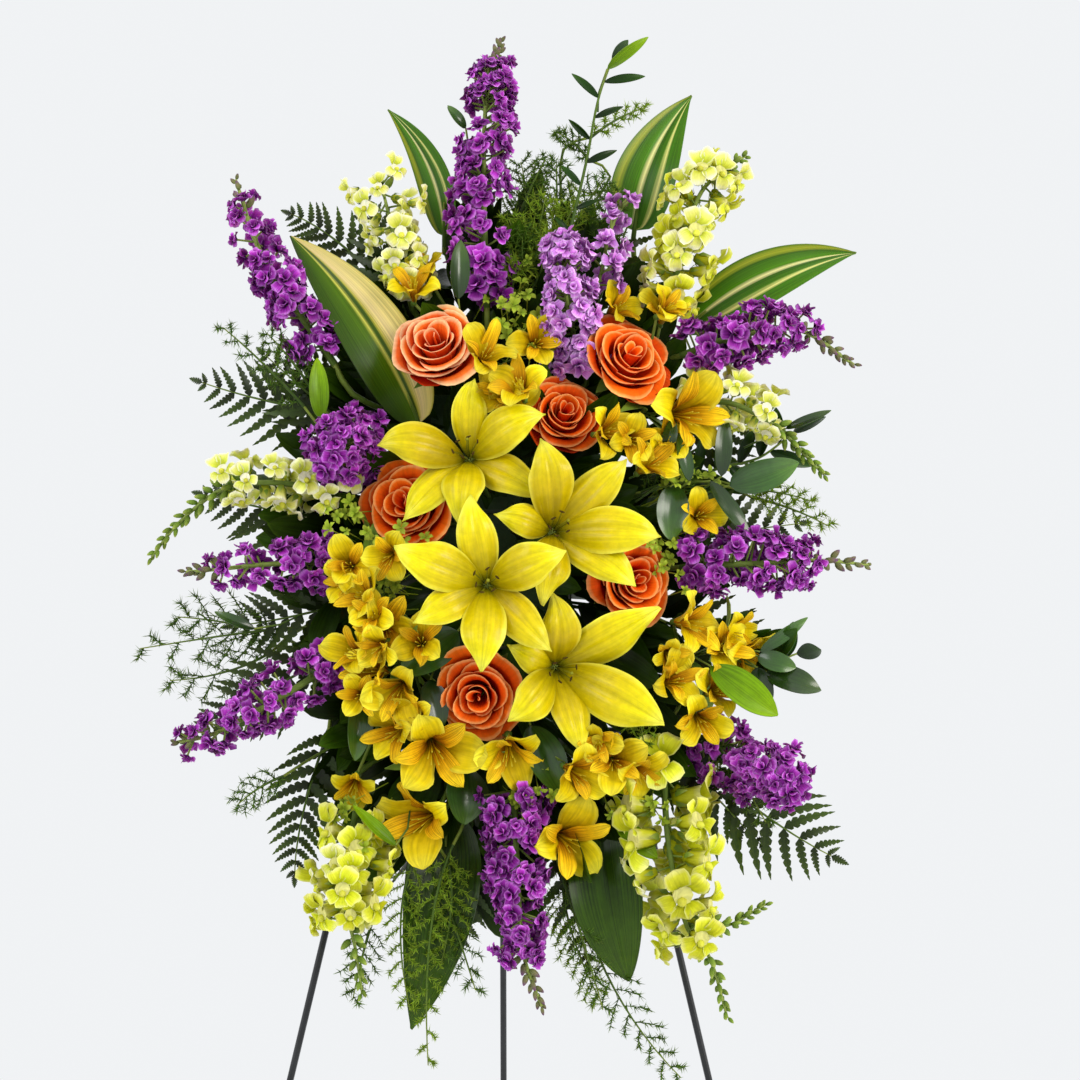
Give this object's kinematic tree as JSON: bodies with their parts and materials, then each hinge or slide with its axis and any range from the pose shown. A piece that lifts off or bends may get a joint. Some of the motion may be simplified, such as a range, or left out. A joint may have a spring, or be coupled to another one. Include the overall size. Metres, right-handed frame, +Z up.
{
  "type": "standing funeral spray",
  "caption": "Spray of lilies, roses, stock, snapdragons, alstroemeria and leaves in a caged foam block on a folding wire easel.",
  "frame": {"origin": "on the floor, under the middle of the whole object's box", "axes": "+Z up, +X to the right as seen from the front, the flowers face -Y and the rear leg stands towards +Y"},
  "size_m": [0.649, 0.6753, 1.5108],
  "materials": {
    "easel_wire": "black enamel on wire",
    "cage_plastic": "moulded green plastic",
    "floral_foam": "wet fine-celled foam",
    "lily_petal": "satin yellow petal",
    "rose_petal": "velvety coral orange petal",
    "stock_petal": "matt purple petal",
    "pale_stock_petal": "matt lavender petal",
    "snapdragon_petal": "matt pale yellow petal",
    "alstroemeria_petal": "satin golden petal",
    "striped_leaf": "glossy green leaf with cream stripes",
    "broad_leaf": "glossy dark green leaf",
    "leather_fern": "leathery dark green frond",
    "asparagus_fern": "matt feathery green",
    "ruscus_leaf": "glossy dark green leaf"
  },
  "bodies": {
    "stand": {"front_leg_left": "easel_wire", "front_leg_right": "easel_wire", "top_pin": "easel_wire", "cross_bar": "easel_wire", "foam_tray": "cage_plastic", "cage_grid": "cage_plastic", "foam_block": "floral_foam", "lily_top": "lily_petal", "lily_middle": "lily_petal", "lily_right": "lily_petal", "lily_low": "lily_petal", "rose_top_left": "rose_petal", "rose_top_right": "rose_petal", "rose_centre": "rose_petal", "rose_left": "rose_petal", "rose_right": "rose_petal", "rose_low": "rose_petal", "stock_top": "stock_petal", "stock_top_left": "stock_petal", "stock_upper_right": "stock_petal", "stock_left_front": "stock_petal", "stock_left": "stock_petal", "stock_low_left": "stock_petal", "stock_right": "stock_petal", "stock_low_right": "stock_petal", "stock_bottom": "stock_petal", "stock_pale": "pale_stock_petal", "snapdragon_top_left": "snapdragon_petal", "snapdragon_top_right": "snapdragon_petal", "snapdragon_right": "snapdragon_petal", "snapdragon_left": "snapdragon_petal", "snapdragon_low_left": "snapdragon_petal", "snapdragon_low_right": "snapdragon_petal", "alstroemeria_top": "alstroemeria_petal", "alstroemeria_upper_right": "alstroemeria_petal", "alstroemeria_left": "alstroemeria_petal", "alstroemeria_low_left": "alstroemeria_petal", "alstroemeria_bottom": "alstroemeria_petal", "alstroemeria_low_right": "alstroemeria_petal", "alstroemeria_right": "alstroemeria_petal", "striped_leaf_top_left": "striped_leaf", "striped_leaf_left": "striped_leaf", "striped_leaf_top": "striped_leaf", "striped_leaf_right": "striped_leaf", "broad_leaf_bottom": "broad_leaf", "broad_leaf_low_right": "broad_leaf", "fern_left": "leather_fern", "fern_top_left": "leather_fern", "fern_low_left": "leather_fern", "fern_bottom_left": "leather_fern", "fern_bottom_right": "leather_fern", "asparagus_top": "asparagus_fern", "asparagus_left": "asparagus_fern", "asparagus_bottom_left": "asparagus_fern", "asparagus_bottom_right": "asparagus_fern", "ruscus_top": "ruscus_leaf", "ruscus_right": "ruscus_leaf", "ruscus_low_right": "ruscus_leaf"},
    "rear_leg": {"rear_leg": "easel_wire", "rear_leg_eye": "easel_wire"}
  },
  "joints": [
    {"name": "rear_leg_swing", "type": "hinge", "parent": "stand", "child": "rear_leg", "pos_m": [0, -0.04258, 1.315], "axis": [-1, 0, 0], "range_deg": [0, 24]}
  ]
}
